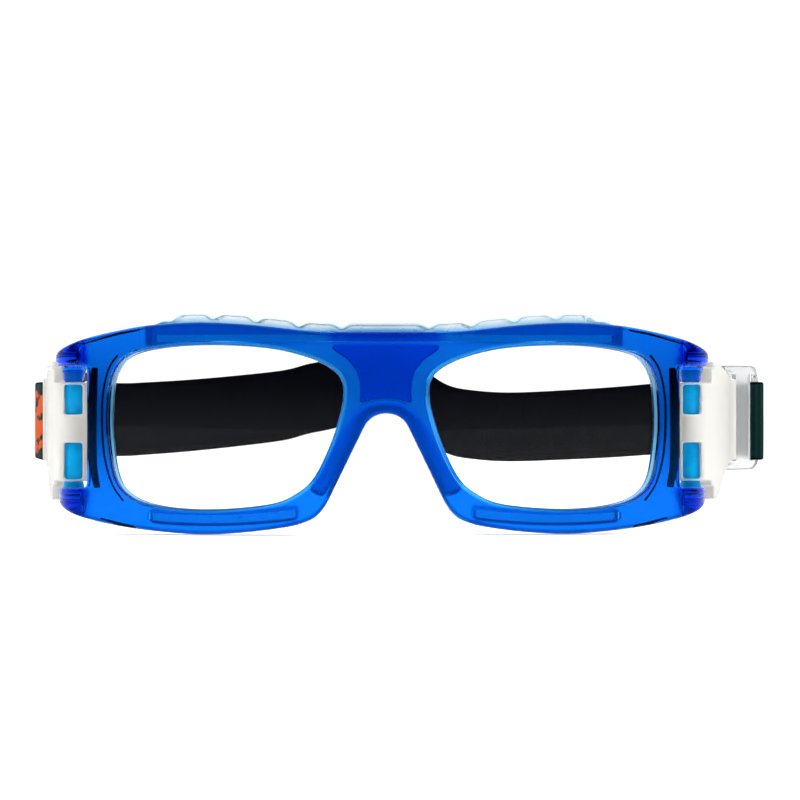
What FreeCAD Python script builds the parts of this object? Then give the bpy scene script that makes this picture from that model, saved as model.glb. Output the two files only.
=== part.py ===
"""Sports protective goggles: a wrap-round front on hinged side arms, held by an elastic strap.

Frame: +X to the wearer's left as seen from in front (right hand side of the front view), +Y from
the front back towards the strap, +Z up. Origin: centre plane, on the lenses' mid line, in the
plane of the bridge's rear face. Millimetres.
"""
import FreeCAD, Part
import math
import os

V = FreeCAD.Vector
doc = FreeCAD.newDocument("goggles")

# ---------------------------------------------------------------- driving dimensions
DIMENSIONS = {
    "blank_height": 60.0,      # height of the uncut curved walls
    "bridge_depth": 8.0,       # bridge, front to rear
    "wrap_radius": 230.0,      # front face, about a vertical axis
    "rim_thick": 5.0,
    "block_depth": 3.6,        # bridge block, forward from its rear face
    "end_x": 68.4,             # centre of the small end curve
    "end_radius": 8.0,
    "lobe_radius": 4.2,        # rounded rear end of each lobe
    "window_in": 67.95,        # inner wall of the arm window
    "window_low": -13.9,
    "window_top": 14.4,
    "stub_radius": 2.25,       # stub pins that the arms turn on
    "stub_top_end": 3.1,
    "stub_low_end": -3.4,
    "stub_root": 0.5,          # how far the pins and collars are sunk in the lobes
    "collar_radius": 2.9,      # at the root of each upper stub pin
    "collar_end": 10.9,
    "run_clear": 0.07,         # radial clearance of the arm and ring pivots
    "lens_front": 1.6,         # lens front face behind the frame's front face
    "lens_thick": 2.0,
    "lens_lip": 0.9,           # how far the lens reaches into its groove
    "groove_clear": 0.06,
    "brow_half": 57.0,
    "brow_depth": 7.0,
    "brow_rise": 2.6,          # brow pad above the top rim
    "vent_pitch": 10.2,
    "vent_first": 10.4,
    "vent_width": 3.0,
    "vent_depth": 2.1,         # below the highest point near the vent
    "vent_taper": 0.5,
    "rib_half": 53.8,          # brow pad's rib in the top rim's slot
    "rib_height": 1.5,
    "rib_depth": 1.3,
    "rib_z": 20.6,
    "rib_clear": 0.1,
    "pad_gap": 0.12,           # rear face of the frame to a pad
    "nose_depth": 6.0,
    "cheek_depth": 4.0,
    "sleeve_radius": 3.9,
    "sleeve_low": -12.4,
    "sleeve_top": 10.6,
    "slit_half": 2.15,         # slits in the sleeve's front, over the stub pins
    "slit_rear": 0.9,          # slit floor, in front of the hinge axis
    "slit_lip": 0.5,
    "pin_end_gap": 0.2,        # stub pin's end to the floor of its bore
    "sleeve_rear": 3.3,        # behind the hinge axis the plate takes over from the sleeve
    "arm_shoulder": 5.0,       # where the plate starts to taper, behind the hinge axis
    "arm_gap": 0.3,            # arm to the lobes, up and down
    "arm_low": -16.9,
    "arm_top": 15.6,
    "eye_u": 3.2,              # rear eye, outward of the hinge axis
    "eye_v": 27.6,             # rear eye, behind the hinge axis
    "eye_radius": 2.4,
    "splay_left": 6.4,         # degrees
    "splay_right": 18.5,
    "ring_turn_left": 0.2,
    "ring_turn_right": 26.0,
    "ring_length": 11.4,       # front bar to rear bar
    "ring_thick": 1.4,
    "ring_bar": 1.4,
    "ring_front": 1.5,         # rails' front ends, ahead of the swivel pin
    "ring_corner": 3.0,
    "web_front": 2.8,          # web, behind the swivel pin
    "slot_width": 1.9,         # between the web and the rear bar, for the strap
    "ring_half": 12.65,
    "ring_side": 2.2,
    "ring_pin": 1.1,
    "ring_z": 2.2,
    "strap_width": 19.0,
    "strap_thick": 1.2,
    "strap_z": 1.4,
    "fold_radius": 1.6,        # middle of the strap where it folds round a ring
    "tail_offset": 3.3,        # inner tail and slider's centre bar, inward of the band
    "tail_lead": 2.0,          # straight run out of the fold
    "tail_lift": 0.5,          # gap to the band at the knee, beyond the offset
    "tail_knee": 6.0,          # knee, past the start of the side bend
    "tail_bend": 25.0,
    "loop_radius": 2.2,        # tail's sewn loop round the slider's centre bar
    "loop_clear": 0.05,
    "slider_half": 6.0,
    "slider_rail": 2.2,
    "slider_bar": 1.6,
    "slider_pin": 0.9,
    "slider_side_gap": 0.4,    # band's edges to the rails
    "slider_face_gap": 0.35,   # band's outer face to the end bars
    "slider_inner": 1.2,       # rails reach this far inward of the centre bar
}

sheet = doc.addObject("Spreadsheet::Sheet", "Dims")
for row, (alias, number) in enumerate(DIMENSIONS.items(), start=1):
    sheet.set("A%d" % row, alias)
    sheet.set("B%d" % row, str(number))
    sheet.setAlias("B%d" % row, alias)
doc.recompute()


def dim(alias):
    return float(sheet.get(alias))


FRONT_Y = -dim("bridge_depth")
OVER = 1.0            # cutters reach past the face they open by this
HINGE_X = dim("end_x") + dim("end_radius") - dim("lobe_radius")


def wrap_y(inset, x):
    """Y of the wrapped surface that lies this far behind the front face, at x."""
    radius = dim("wrap_radius") - inset
    return FRONT_Y + dim("wrap_radius") - math.sqrt(radius * radius - x * x)


HINGE_Y = FRONT_Y + dim("wrap_radius") - math.sqrt(
    (dim("wrap_radius") - dim("end_radius")) ** 2 - dim("end_x") ** 2)


# ---------------------------------------------------------------- drawing helpers
def line(a, b):
    return Part.LineSegment(V(*a, 0), V(*b, 0))


def arc(a, b, c):
    return Part.ArcOfCircle(V(*a, 0), V(*b, 0), V(*c, 0))


def circle(x, y, radius):
    return Part.Circle(V(x, y, 0), V(0, 0, 1), radius)


def smooth(points, closed=False):
    curve = Part.BSplineCurve()
    curve.interpolate(Points=[V(x, y, 0) for x, y in points], PeriodicFlag=closed)
    return curve


def polyline(points, closed=True):
    ends = points[1:] + points[:1] if closed else points[1:]
    return [line(a, b) for a, b in zip(points, ends)]


def mirrored(points):
    """The points from the left end to the right end, from the right half's own."""
    left = [(-x, y) for x, y in reversed(points) if x > 0]
    return left + points


def add(a, b, scale=1.0):
    return (a[0] + b[0] * scale, a[1] + b[1] * scale)


def unit(a, b):
    length = math.dist(a, b)
    return ((b[0] - a[0]) / length, (b[1] - a[1]) / length)


def tangent_path(points, radii):
    """Straight runs joined by tangent arcs: ('line', a, b) and ('arc', a, b, centre, radius)."""
    pieces = []
    start = points[0]
    for before, corner, after, radius in zip(points, points[1:], points[2:], radii):
        inward, outward = unit(before, corner), unit(corner, after)
        cross = inward[0] * outward[1] - inward[1] * outward[0]
        turn = math.atan2(cross, inward[0] * outward[0] + inward[1] * outward[1])
        reach = radius * math.tan(abs(turn) / 2)
        first, last = add(corner, inward, -reach), add(corner, outward, reach)
        side = math.copysign(radius, turn)
        centre = (first[0] - inward[1] * side, first[1] + inward[0] * side)
        pieces.append(("line", start, first))
        pieces.append(("arc", first, last, centre, side))
        start = last
    pieces.append(("line", start, points[-1]))
    return [piece for piece in pieces if math.dist(piece[1], piece[2]) > 1e-4]


def shifted_path(pieces, shift):
    """The same path moved sideways, to the left of its direction when shift is positive."""
    edges = []
    ends = []
    for piece in pieces:
        if piece[0] == "line":
            along = unit(piece[1], piece[2])
            normal = (-along[1], along[0])
            a, b = add(piece[1], normal, shift), add(piece[2], normal, shift)
            edges.append(line(a, b))
        else:
            _, first, last, centre, side = piece
            ratio = (side - shift) / side
            a = add(centre, (first[0] - centre[0], first[1] - centre[1]), ratio)
            b = add(centre, (last[0] - centre[0], last[1] - centre[1]), ratio)
            middle = unit(centre, ((a[0] + b[0]) / 2, (a[1] + b[1]) / 2))
            edges.append(arc(a, add(centre, middle, abs(side - shift)), b))
        ends += [a, b]
    return edges, ends[0], ends[-1]


def band_outline(pieces, thick):
    """Closed outline of a band of this thickness along a path."""
    left, left_start, left_end = shifted_path(pieces, thick / 2)
    right, right_start, right_end = shifted_path(pieces, -thick / 2)
    return left + right + [line(left_start, right_start), line(left_end, right_end)]


# ---------------------------------------------------------------- feature helpers
def new_body(label):
    body = doc.addObject("PartDesign::Body", label)
    body.Label = label
    return body


def sketch_on(body, role, edges, lift=None):
    """A sketch on one of the body's origin planes, lifted along its normal by an expression."""
    sketch = body.newObject("Sketcher::SketchObject", body.Name + "_sketch")
    plane = [item for item in body.Origin.OriginFeatures if item.Role == role][0]
    sketch.AttachmentSupport = [(plane, "")]
    sketch.MapMode = "FlatFace"
    sketch.addGeometry(edges, False)
    if lift:
        sketch.setExpression("AttachmentOffset.Base.z", lift)
    return sketch


def pad(body, sketch, length):
    """A pad of this length (an expression), half to each side of its sketch."""
    feature = body.newObject("PartDesign::Pad", body.Name + "_pad")
    feature.Profile = sketch
    feature.Midplane = True
    feature.setExpression("Length", length)
    sketch.Visibility = False
    doc.recompute()
    return feature


def pocket_through(body, sketch):
    """Cuts both ways through the body; stops if nothing was cut."""
    before = body.Shape.Volume
    feature = body.newObject("PartDesign::Pocket", body.Name + "_pocket")
    feature.Profile = sketch
    feature.Type = 1
    feature.Midplane = True
    doc.recompute()
    if not body.Shape.Volume < before - 0.01:
        raise RuntimeError(feature.Name + " cut nothing")
    return feature


def trim_to(body, role, edges):
    """Removes what lies outside this closed outline, seen along the plane's normal."""
    far = 400.0
    corners = [(-far, -far), (far, -far), (far, far), (-far, far)]
    return pocket_through(body, sketch_on(body, role, polyline(corners) + edges))


def wrapped_wall(inset, thick, x_low, x_high):
    """Plan outline of a wall that follows the wrap, from inset to inset + thick."""
    middle = (x_low + x_high) / 2
    edges = []
    for depth in (inset, inset + thick):
        ends = [(x, wrap_y(depth, x)) for x in (x_low, middle, x_high)]
        edges.append(arc(*ends))
    for x in (x_low, x_high):
        edges.append(line((x, wrap_y(inset, x)), (x, wrap_y(inset + thick, x))))
    return edges


def place(item, x, y, turn):
    """Puts a sub-part's own origin at x, y and turns it about the vertical."""
    item.Placement = FreeCAD.Placement(V(x, y, 0), FreeCAD.Rotation(V(0, 0, 1), turn))


# ---------------------------------------------------------------- elevations, right half, (x, z)
TOP_EDGE = [(0, 22.2), (18, 22.5), (32.5, 23.9), (44, 24.4), (55, 23.7), (62.6, 22.4),
            (70, 20.7), (74.3, 18.9), (77.4, 14.1)]
LOWER_LOBE = [(75, -15.9), (74.2, -18.7), (70, -20.8), (62.6, -22.4), (55, -23.5), (43, -24.4),
              (32.5, -23.9), (20.8, -22.3)]
NOSE_CORNER = [(20.8, -22.3), (16.3, -20.5), (13.9, -17.8)]
NOSE_LEG_TOP = (5.0, 0.2)
NOSE_APEX = (0, 3.5)
BRIDGE_BLOCK = [(0, 6.9), (2.2, 6.75), (4.2, 6.3), (6.2, 5.6), (5.95, 8.0), (5.95, 10.4), (6.9, 13.4),
                (9.0, 15.9), (12.0, 17.8), (13.0, 18.8), (12.2, 19.3), (0, 19.3)]
LENS_OPENING = [(9.9, 7.9), (10.6, 3.3), (13, -4), (16.7, -11.3), (20.8, -15), (27, -17.4),
                (40, -18.6), (51.3, -18), (58.5, -15.8), (62.2, -11.4), (63.7, -2.4),
                (63.8, 5.1), (62.8, 12.1), (59.2, 16.6), (51.3, 18.5), (40, 19.1), (27, 18.3),
                (18, 16.2), (12.6, 13.6), (10.4, 11.1)]


def grown(points, margin):
    """A closed outline made larger by about this margin on every side."""
    xs, ys = [x for x, _ in points], [y for _, y in points]
    mid_x, mid_y = (min(xs) + max(xs)) / 2, (min(ys) + max(ys)) / 2
    wide = 1 + 2 * margin / (max(xs) - min(xs))
    high = 1 + 2 * margin / (max(ys) - min(ys))
    return [(mid_x + (x - mid_x) * wide, mid_y + (y - mid_y) * high) for x, y in points]


def on_side(points, side):
    return [(x * side, y) for x, y in points]


def front_outline():
    edges = [smooth(mirrored(TOP_EDGE))]
    window_in, low, top = dim("window_in"), dim("window_low"), dim("window_top")
    for side in (-1, 1):
        end = TOP_EDGE[-1]
        lobe = LOWER_LOBE[0]
        corners = [end, (end[0], top), (window_in, top), (window_in, low), (lobe[0], low), lobe]
        edges += polyline(on_side(corners, side), closed=False)
        edges.append(smooth(on_side(LOWER_LOBE, side)))
        edges.append(arc(*on_side(NOSE_CORNER, side)))
        edges.append(line(*on_side([NOSE_CORNER[-1], NOSE_LEG_TOP], side)))
    edges.append(arc(*on_side([NOSE_LEG_TOP], -1), NOSE_APEX, NOSE_LEG_TOP))
    return edges


# ---------------------------------------------------------------- front frame
def front_plan():
    """Plan of the front: a wrapped wall whose ends curl back into the lobes."""
    reach, radius = dim("wrap_radius"), dim("end_radius")
    lobe, end_x = dim("lobe_radius"), dim("end_x")
    touch_x = end_x * reach / (reach - radius)
    touch = (touch_x, wrap_y(0, touch_x))
    outer = (end_x + radius, HINGE_Y)
    inner_x = HINGE_X - lobe
    inner = (inner_x, HINGE_Y)
    rear = (inner_x, wrap_y(dim("rim_thick"), inner_x))
    slant = math.radians(40)
    swing = (end_x + radius * math.cos(slant), HINGE_Y - radius * math.sin(slant))
    edges = [arc((-touch[0], touch[1]), (0, FRONT_Y), touch)]
    for side in (-1, 1):
        edges.append(arc(*on_side([touch, swing, outer], side)))
        edges.append(arc(*on_side([outer, (HINGE_X, HINGE_Y + lobe), inner], side)))
        edges.append(line(*on_side([inner, rear], side)))
    edges.append(arc((-rear[0], rear[1]), (0, FRONT_Y + dim("rim_thick")), rear))
    return edges


def make_front_frame():
    body = new_body("front_body")
    pad(body, sketch_on(body, "XY_Plane", front_plan()), "Dims.blank_height")
    trim_to(body, "XZ_Plane", front_outline())
    openings = [smooth(on_side(LENS_OPENING, side), closed=True) for side in (-1, 1)]
    pocket_through(body, sketch_on(body, "XZ_Plane", openings))

    # bridge block, behind the wall between the lenses, flared up into the brow
    block = polyline(mirrored(BRIDGE_BLOCK))
    pad(body, sketch_on(body, "XZ_Plane", block, "Dims.block_depth / 2"), "Dims.block_depth")

    # slot in the rear of the top rim, for the brow pad's rib
    wall, clear = dim("rim_thick"), dim("rib_clear")
    half = dim("rib_half") + 2 * clear
    floor = wall - dim("rib_depth") - clear
    slot = wrapped_wall(floor, wall + OVER - floor, -half, half)
    feature = body.newObject("PartDesign::Pocket", "rib_slot")
    feature.Profile = sketch_on(body, "XY_Plane", slot, "Dims.rib_z")
    feature.Midplane = True
    feature.setExpression("Length", "Dims.rib_height + 2 * Dims.rib_clear")
    doc.recompute()

    # grooves that hold the lenses
    tools = [lens_body("lens_groove", side, dim("groove_clear")) for side in (-1, 1)]
    grooved = doc.addObject("Part::Cut", "grooved_front")
    grooved.Base = body
    both = doc.addObject("Part::MultiFuse", "groove_tools")
    both.Shapes = tools
    grooved.Tool = both

    # stub pins that the arms turn on, and the collar at the root of each upper one
    stubs = []
    for side in (-1, 1):
        for radius, start, end in (("stub_radius", "window_low - Dims.stub_root", "stub_low_end"),
                                   ("stub_radius", "stub_top_end", "window_top + Dims.stub_root"),
                                   ("collar_radius", "collar_end", "window_top + Dims.stub_root")):
            stub = doc.addObject("Part::Cylinder", "stub")
            stub.setExpression("Radius", "Dims." + radius)
            stub.setExpression("Height", "Dims.%s - (Dims.%s)" % (end, start))
            stub.Placement.Base = V(side * HINGE_X, HINGE_Y, 0)
            stub.setExpression("Placement.Base.z", "Dims." + start)
            stubs.append(stub)
    frame = doc.addObject("Part::MultiFuse", "front_frame")
    frame.Shapes = [grooved] + stubs
    frame.Label = "front_frame"
    doc.recompute()
    return frame


# ---------------------------------------------------------------- lenses
LENS_BLANK = (5, 70)      # x of each lens's curved blank, before it is trimmed


def lens_body(label, side, clear):
    body = new_body(label)
    inset = dim("lens_front") - clear
    ends = sorted((LENS_BLANK[0] * side, LENS_BLANK[1] * side))
    wall = wrapped_wall(inset, dim("lens_thick") + 2 * clear, *ends)
    pad(body, sketch_on(body, "XY_Plane", wall), "Dims.blank_height")
    outline = grown(LENS_OPENING, dim("lens_lip") + clear)
    trim_to(body, "XZ_Plane", [smooth(on_side(outline, side), closed=True)])
    return body


# ---------------------------------------------------------------- silicone pads
def pad_body(label, depth, x_low, x_high, outline):
    """A pad behind the frame's rear face, cut to an outline in elevation."""
    body = new_body(label)
    wall = wrapped_wall(dim("rim_thick") + dim("pad_gap"), depth, x_low, x_high)
    pad(body, sketch_on(body, "XY_Plane", wall), "Dims.blank_height")
    trim_to(body, "XZ_Plane", outline)
    return body


def make_brow_pad():
    half = dim("brow_half")
    top = [(x, z + dim("brow_rise")) for x, z in TOP_EDGE if x < 50] + [(half, 24.2)]
    low = [(0, 19.7), (8, 19.75), (14, 19.75), (20, 19.5), (28, 19.3), (40, 20.0), (half, 18.6)]
    outline = [smooth(mirrored(top)), smooth(mirrored(low))]
    outline += [line(*on_side([low[-1], top[-1]], side)) for side in (-1, 1)]
    body = pad_body("brow_pad", dim("brow_depth"), -half - 3, half + 3, outline)

    # vents: notches across the top edge
    mouth = dim("vent_width") / 2
    foot = mouth - dim("vent_taper")
    for number in range(5):
        x = dim("vent_first") + number * dim("vent_pitch")
        peak = max(z for at, z in top if abs(at - x) < 12)
        floor = peak - dim("vent_depth")
        for side in (-1, 1):
            at = side * x
            notch = [(at - mouth, peak + 2 * OVER), (at - foot, floor), (at + foot, floor),
                     (at + mouth, peak + 2 * OVER)]
            pocket_through(body, sketch_on(body, "XZ_Plane", polyline(notch)))

    # rib that plugs into the frame's slot
    rib = wrapped_wall(dim("rim_thick") - dim("rib_depth"), dim("rib_depth") + 1.0,
                       -dim("rib_half"), dim("rib_half"))
    pad(body, sketch_on(body, "XY_Plane", rib, "Dims.rib_z"), "Dims.rib_height")
    return body


def make_nose_pad():
    """A saddle that follows the nose arch, hidden behind its rim."""
    leg_low, leg_top = (14.2, -16.4), (5.4, 0.7)
    out_low, out_top = (18.4, -14.6), (9.2, 3.6)
    outline = []
    for side in (-1, 1):
        outline.append(line(*on_side([leg_low, leg_top], side)))
        outline.append(line(*on_side([out_low, out_top], side)))
        outline.append(line(*on_side([leg_low, out_low], side)))
    outline.append(arc(*on_side([leg_top], -1), (0, 3.8), leg_top))
    outline.append(arc(*on_side([out_top], -1), (0, 6.6), out_top))
    return pad_body("nose_pad", dim("nose_depth"), -25, 25, outline)


def make_cheek_pad(side):
    label = "cheek_pad_right" if side > 0 else "cheek_pad_left"
    low = [(21, -20.9), (32, -22.6), (44, -23.3), (56, -22.2)]
    top = [(21, -17.2), (32, -19.2), (44, -19.6), (56, -18.2)]
    outline = [smooth(on_side(low, side)), smooth(on_side(top, side))]
    outline += [line(*on_side([low[k], top[k]], side)) for k in (0, -1)]
    x_low, x_high = sorted((18 * side, 59 * side))
    return pad_body(label, dim("cheek_depth"), x_low, x_high, outline)


# ---------------------------------------------------------------- side arms
ARM_OUTER = [(3.9, 0), (4.7, 5), (5.1, 12), (5.0, 20), (4.6, 27.6)]
ARM_INNER = [(1.8, 27.6), (2.0, 20), (1.9, 12), (0.9, 5), (0, 2.4)]
ARM_LOW_EDGE = [(5, -16.9), (9, -16.3), (14, -12.8), (19, -10.2), (31, -7.9)]
ARM_TOP_EDGE = [(31, 10.9), (22, 12.6), (12, 14.6), (5, 15.6)]


def arm_angle(side):
    return dim("splay_right") if side > 0 else dim("splay_left")


def make_arm(side):
    body = new_body("side_arm_right" if side > 0 else "side_arm_left")
    low, top = dim("window_low") + dim("arm_gap"), dim("window_top") - dim("arm_gap")
    sleeve_low, sleeve_top = dim("sleeve_low"), dim("sleeve_top")
    sleeve = [circle(0, 0, dim("sleeve_radius"))]
    pad(body, sketch_on(body, "XY_Plane", sleeve), "Dims.blank_height")
    plate = [smooth(on_side(ARM_OUTER, side)), smooth(on_side(ARM_INNER, side)),
             line(*on_side([ARM_OUTER[-1], ARM_INNER[0]], side)),
             line(*on_side([ARM_INNER[-1], ARM_OUTER[0]], side))]
    pad(body, sketch_on(body, "XY_Plane", plate), "Dims.blank_height")
    eye = [circle(side * dim("eye_u"), dim("eye_v"), dim("eye_radius"))]
    pad(body, sketch_on(body, "XY_Plane", eye), "Dims.blank_height")
    outline = [smooth(ARM_LOW_EDGE), smooth(ARM_TOP_EDGE)]
    outline += polyline([ARM_LOW_EDGE[-1], ARM_TOP_EDGE[0]], closed=False)
    step, shoulder = dim("sleeve_rear"), dim("arm_shoulder")
    front = -dim("sleeve_radius") - OVER
    outline += polyline([ARM_TOP_EDGE[-1], (shoulder, top), (step, top), (step, sleeve_top),
                         (front, sleeve_top), (front, sleeve_low), (step, sleeve_low),
                         (step, low), (shoulder, low), ARM_LOW_EDGE[0]], closed=False)
    trim_to(body, "YZ_Plane", outline)
    pin = [circle(side * dim("eye_u"), dim("eye_v"), dim("ring_pin") + dim("run_clear"))]
    pocket_through(body, sketch_on(body, "XY_Plane", pin))
    radius = dim("stub_radius") + dim("run_clear")
    gap = dim("pin_end_gap")
    for z_from, z_to in ((sleeve_low - OVER, dim("stub_low_end") + gap),
                         (dim("stub_top_end") - gap, sleeve_top + OVER)):
        bore = body.newObject("PartDesign::SubtractiveCylinder", "bore")
        bore.Radius = radius
        bore.Height = z_to - z_from
        bore.Placement.Base = V(0, 0, z_from)
        doc.recompute()
    open_sleeve(body, side, dim("stub_top_end"), sleeve_top - dim("slit_lip"))
    open_sleeve(body, side, sleeve_low + dim("slit_lip"), dim("stub_low_end"))
    place(body, side * HINGE_X, HINGE_Y, -side * arm_angle(side))
    return body


def open_sleeve(body, side, z_from, z_to):
    """A slit in the front of the sleeve, down to the bore, that shows the stub pin."""
    half, front = dim("slit_half"), dim("sleeve_radius") + OVER
    slit = body.newObject("PartDesign::SubtractiveBox", "slit")
    slit.Length = 2 * half
    slit.Width = front - dim("slit_rear")
    slit.Height = z_to - z_from
    facing = FreeCAD.Placement(V(0, 0, 0), FreeCAD.Rotation(V(0, 0, 1), side * arm_angle(side)))
    slit.Placement = facing * FreeCAD.Placement(V(-half, -front, z_from), FreeCAD.Rotation())
    doc.recompute()


# ---------------------------------------------------------------- strap rings
def turned(vector, degrees):
    """A plan vector turned about the vertical."""
    angle = math.radians(degrees)
    return (vector[0] * math.cos(angle) - vector[1] * math.sin(angle),
            vector[0] * math.sin(angle) + vector[1] * math.cos(angle))


def ring_angle(side):
    swing = dim("ring_turn_right") if side > 0 else dim("ring_turn_left")
    return arm_angle(side) + swing


def eye_centre(side):
    local = (side * dim("eye_u"), dim("eye_v"))
    return add((side * HINGE_X, HINGE_Y), turned(local, -side * arm_angle(side)))


def ring_bar_centre(side):
    return add(eye_centre(side), turned((0, dim("ring_length")), -side * ring_angle(side)))


def make_ring(side):
    """Two rails from the swivel pin to the rear bar, and a web that leaves a slot for the strap."""
    body = new_body("strap_ring_right" if side > 0 else "strap_ring_left")
    half, rail, mid = dim("ring_half"), dim("ring_side"), dim("ring_z")
    front, rear = -dim("ring_front"), dim("ring_length") + dim("ring_bar") / 2
    bar_face = rear - dim("ring_bar")
    low, high = mid - half, mid + half
    outer = tangent_path([(front, high), (rear, high), (rear, low), (front, low)],
                         [dim("ring_corner"), dim("ring_corner")])
    edges, _, _ = shifted_path(outer, 0.0)
    web_front = dim("web_front")
    edges += polyline([(front, low), (front, low + rail), (web_front, low + rail),
                       (web_front, high - rail), (front, high - rail), (front, high)],
                      closed=False)
    slot = [(bar_face - dim("slot_width"), low + rail), (bar_face, low + rail),
            (bar_face, high - rail), (bar_face - dim("slot_width"), high - rail)]
    edges += polyline(slot)
    pad(body, sketch_on(body, "YZ_Plane", edges), "Dims.ring_thick")
    pin = [circle(0, 0, dim("ring_pin"))]
    pad(body, sketch_on(body, "XY_Plane", pin, "Dims.ring_z"),
        "2 * (Dims.ring_half - Dims.ring_side) + 1")
    place(body, *eye_centre(side), -side * ring_angle(side))
    return body


# ---------------------------------------------------------------- strap
CORNERS = {"side_left": (-86.0, 91.0), "rear_left": (-18.0, 153.0), "rear_right": (38.0, 171.0),
           "side_right": (101.5, 108.0)}
BENDS = {"side_left": 38.0, "rear_left": 120.0, "rear_right": 42.0, "side_right": 42.0}
REAR_START = 33.0     # from the left side corner to the rear band's start
REAR_END = 35.0       # from the rear band's end to the right side corner
WAVE = [(-90, 0), (-62, 0), (-48, 0.9), (-34, 2.2), (-21.5, 3.7), (-15, 5.4), (-8, 6.8), (0, 9.2),
        (6.4, 11.0), (12.5, 8.8), (18, 3.6), (23.5, -0.1), (30, -1.6), (42, -2.3), (63, -1.2),
        (77, 0), (100, 0)]
SLIDER_ARC = {-1: 36.0, 1: 40.0}     # degrees round the side bend to each slider


def side_corner(side):
    return CORNERS["side_right" if side > 0 else "side_left"]


def fold_direction(side):
    """The band's direction where it leaves the fold, tangent to it, towards the side corner."""
    bar, corner = ring_bar_centre(side), side_corner(side)
    slant = math.degrees(math.asin(dim("fold_radius") / math.dist(bar, corner)))
    return turned(unit(bar, corner), side * slant)


def outer_fold(side):
    """Where the band leaves the ring's rear bar, on its outer side."""
    along = fold_direction(side)
    outward = (side * along[1], -side * along[0])
    return add(ring_bar_centre(side), outward, dim("fold_radius"))


def rear_ends():
    left = add(CORNERS["side_left"], unit(CORNERS["side_left"], CORNERS["rear_left"]), REAR_START)
    right = add(CORNERS["side_right"], unit(CORNERS["side_right"], CORNERS["rear_right"]),
                REAR_END)
    return left, right


def side_path(side):
    end = rear_ends()[1 if side > 0 else 0]
    bend = BENDS["side_right" if side > 0 else "side_left"]
    return tangent_path([outer_fold(side), side_corner(side), end], [bend])


def strap_band(label, pieces, width="Dims.strap_width"):
    body = new_body(label)
    outline = band_outline(pieces, dim("strap_thick"))
    pad(body, sketch_on(body, "XY_Plane", outline, "Dims.strap_z"), width)
    return body


def make_strap_rear():
    left, right = rear_ends()
    points = [left, CORNERS["rear_left"], CORNERS["rear_right"], right]
    pieces = tangent_path(points, [BENDS["rear_left"], BENDS["rear_right"]])
    body = strap_band("strap_rear", pieces, "Dims.blank_height")
    half = dim("strap_width") / 2
    middle = dim("strap_z")
    edges = [smooth([(x, middle + lift + up) for x, lift in WAVE]) for up in (-half, half)]
    edges += [line((x, middle - half), (x, middle + half)) for x in (WAVE[0][0], WAVE[-1][0])]
    trim_to(body, "XZ_Plane", edges)
    return body


def slider_place(side):
    """Centre, angle and bend centre of a slider that rides on the side bend."""
    centre, bend = side_path(side)[1][3:]
    angle = math.radians(SLIDER_ARC[side])
    outward = (side * math.cos(angle), math.sin(angle))
    return add(centre, outward, abs(bend)), side * SLIDER_ARC[side], centre


def make_tail(side):
    """The fold round the ring's bar and the inner run back to the slider's centre bar."""
    along, bar = fold_direction(side), ring_bar_centre(side)
    inward = (-side * along[1], side * along[0])
    radius, offset = dim("fold_radius"), dim("tail_offset")
    outer, apex, inner = outer_fold(side), add(bar, along, -radius), add(bar, inward, radius)
    fold = [("arc", outer, apex, bar, -side * radius), ("arc", apex, inner, bar, -side * radius)]
    centre, _, bend_centre = slider_place(side)
    pin = add(centre, unit(centre, bend_centre), offset)
    bend_start = side_path(side)[1][1]
    knee = add(add(bend_start, inward, offset + dim("tail_lift")), along, dim("tail_knee"))
    bend = dim("tail_bend")
    run = tangent_path([inner, add(inner, along, dim("tail_lead")), knee, pin], [bend, bend])
    body = strap_band("strap_tail_right" if side > 0 else "strap_tail_left", fold + run)
    loop = [circle(*pin, dim("loop_radius"))]
    pad(body, sketch_on(body, "XY_Plane", loop, "Dims.strap_z"), "Dims.strap_width")
    hole = [circle(*pin, dim("slider_pin") + dim("loop_clear"))]
    pocket_through(body, sketch_on(body, "XY_Plane", hole))
    return body


def make_slider(side):
    """Two rails, two end bars outside the band and a round centre bar inside it."""
    label = "strap_slider_right" if side > 0 else "strap_slider_left"
    half, rail, bar = dim("slider_half"), dim("slider_rail"), dim("slider_bar")
    clear = dim("strap_width") / 2 + dim("slider_side_gap")
    outer = dim("strap_thick") / 2 + dim("slider_face_gap")
    inner = -dim("tail_offset") - dim("slider_inner")
    pieces = []
    for z_low in (dim("strap_z") + clear, dim("strap_z") - clear - rail):
        box = doc.addObject("Part::Box", label + "_rail")
        box.Width = 2 * half
        box.Height = rail
        box.Length = outer + bar - inner
        x_low = inner if side > 0 else -outer - bar
        box.Placement.Base = V(x_low, -half, z_low)
        pieces.append(box)
    for y_low in (-half, half - bar):
        box = doc.addObject("Part::Box", label + "_bar")
        box.Width = bar
        box.Height = 2 * clear + 1
        box.Length = bar
        box.Placement.Base = V(outer if side > 0 else -outer - bar, y_low,
                               dim("strap_z") - clear - 0.5)
        pieces.append(box)
    pin = doc.addObject("Part::Cylinder", label + "_pin")
    pin.setExpression("Radius", "Dims.slider_pin")
    pin.Height = 2 * clear + 1
    pin.Placement.Base = V(-side * dim("tail_offset"), 0, dim("strap_z") - clear - 0.5)
    slider = doc.addObject("Part::MultiFuse", label)
    slider.Shapes = pieces + [pin]
    slider.Label = label
    centre, angle, _ = slider_place(side)
    place(slider, *centre, angle)
    doc.recompute()
    return slider


# ---------------------------------------------------------------- build and write
def build():
    parts = [make_front_frame(), make_brow_pad(), make_nose_pad(), make_strap_rear()]
    for side, word in ((-1, "left"), (1, "right")):
        parts.append(lens_body("lens_" + word, side, 0.0))
        parts.append(make_cheek_pad(side))
        parts.append(make_arm(side))
        parts.append(make_ring(side))
        parts.append(strap_band("strap_side_" + word, side_path(side)))
        parts.append(make_tail(side))
        parts.append(make_slider(side))
    return parts


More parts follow.
